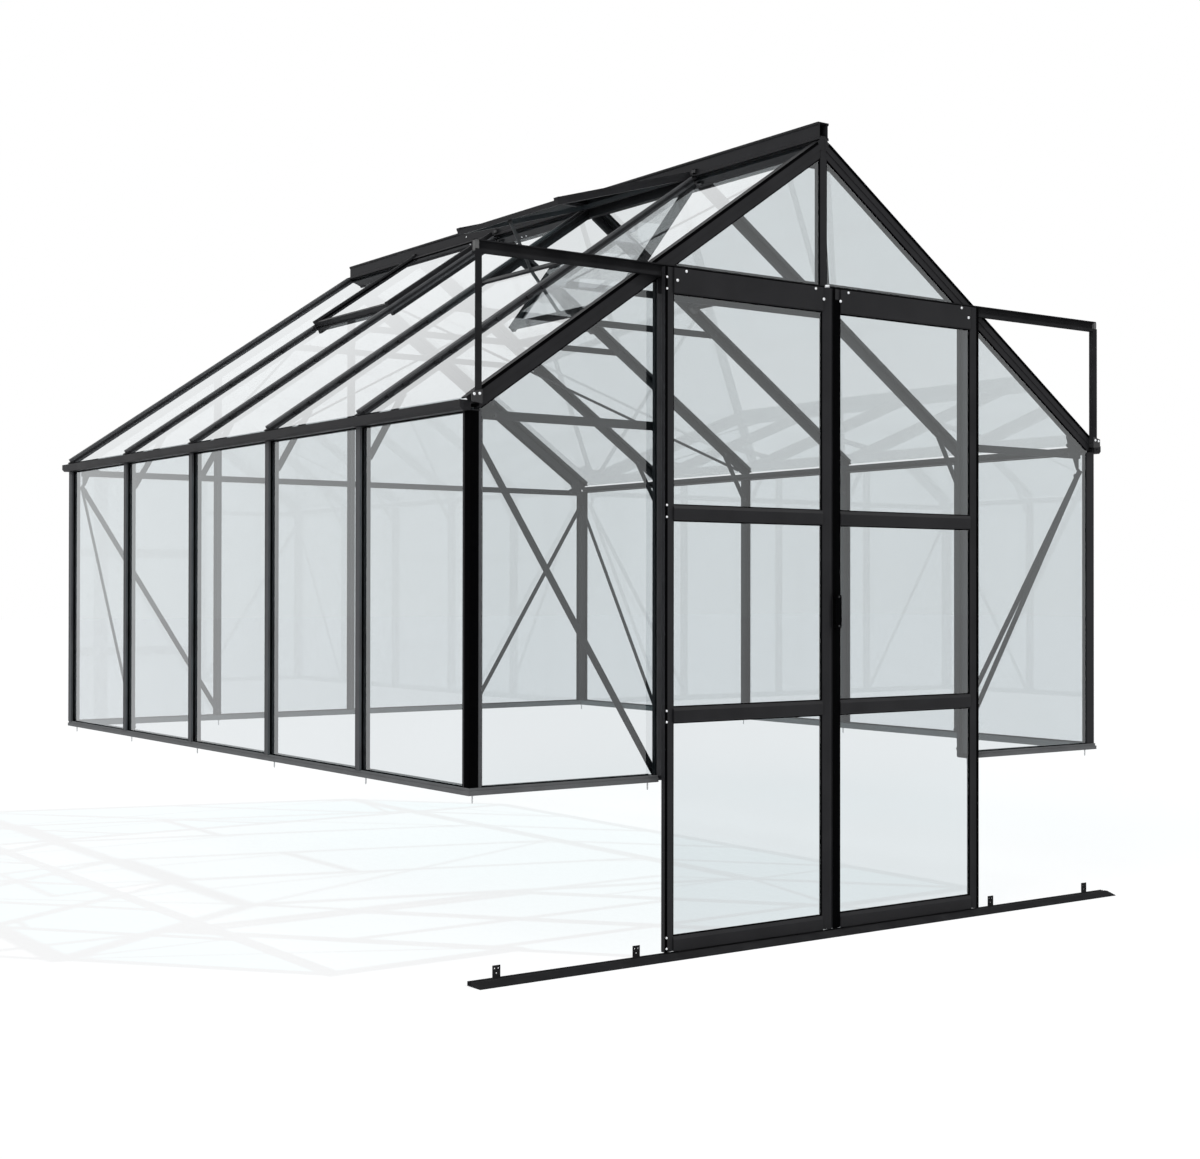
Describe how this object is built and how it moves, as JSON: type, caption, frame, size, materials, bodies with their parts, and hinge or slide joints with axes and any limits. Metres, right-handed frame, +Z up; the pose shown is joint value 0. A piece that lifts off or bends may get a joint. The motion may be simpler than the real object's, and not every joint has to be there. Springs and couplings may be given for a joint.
{
  "type": "dwarf-wall greenhouse",
  "caption": "Glazed dark aluminium greenhouse for a low wall, with a pitched roof, roof vents and a pair of sliding doors.",
  "frame": {"origin": "underside of the sill at the middle of the rear gable, on the gable's outer glazing face", "axes": "+X to the right seen from the door side, +Y from the door gable to the rear gable, +Z up"},
  "size_m": [2.608, 3.186, 2.4898],
  "materials": {
    "frame_paint": "satin anthracite powder coat",
    "clear_glass": "clear horticultural float glass",
    "roller_nylon": "black nylon wheels",
    "opener_metal": "dark anodised tube"
  },
  "bodies": {
    "frame": {"collar_ties": "frame_paint", "corner_gussets": "frame_paint", "corner_posts": "frame_paint", "crossbars": "frame_paint", "door_rail": "frame_paint", "door_track": "frame_paint", "door_transom": "frame_paint", "eave_left": "frame_paint", "eave_right": "frame_paint", "front_posts": "frame_paint", "front_rakes": "frame_paint", "glass_front": "clear_glass", "glass_left": "clear_glass", "glass_rear": "clear_glass", "glass_right": "clear_glass", "knee_braces": "frame_paint", "peak_gussets": "frame_paint", "rail_struts": "frame_paint", "rear_posts": "frame_paint", "rear_rakes": "frame_paint", "ridge": "frame_paint", "roof_bars_left": "frame_paint", "roof_bars_right": "frame_paint", "roof_braces": "frame_paint", "roof_glass_left": "clear_glass", "roof_glass_right": "clear_glass", "side_posts_left": "frame_paint", "side_posts_right": "frame_paint", "sill_left": "frame_paint", "sill_rear": "frame_paint", "sill_right": "frame_paint", "sills_front": "frame_paint", "slam_bars": "frame_paint", "vent_glass": "clear_glass", "vent_left_front": "frame_paint", "vent_left_rear": "frame_paint", "vent_opener": "opener_metal", "vent_right_front": "frame_paint", "vent_right_rear": "frame_paint", "wall_braces": "frame_paint"},
    "door_left": {"door_left_bottom_rail": "frame_paint", "door_left_glass": "clear_glass", "door_left_header": "frame_paint", "door_left_mid_rails": "frame_paint", "door_left_rollers": "roller_nylon", "door_left_stiles": "frame_paint"},
    "door_right": {"door_right_bottom_rail": "frame_paint", "door_right_glass": "clear_glass", "door_right_header": "frame_paint", "door_right_mid_rails": "frame_paint", "door_right_rollers": "roller_nylon", "door_right_stiles": "frame_paint", "door_handle": "frame_paint"}
  },
  "joints": [
    {"name": "door_left_slide", "type": "slide", "parent": "frame", "child": "door_left", "axis": [-1, 0, 0], "range_m": [0, 0.62]},
    {"name": "door_right_slide", "type": "slide", "parent": "frame", "child": "door_right", "axis": [1, 0, 0], "range_m": [0, 0.62]}
  ]
}
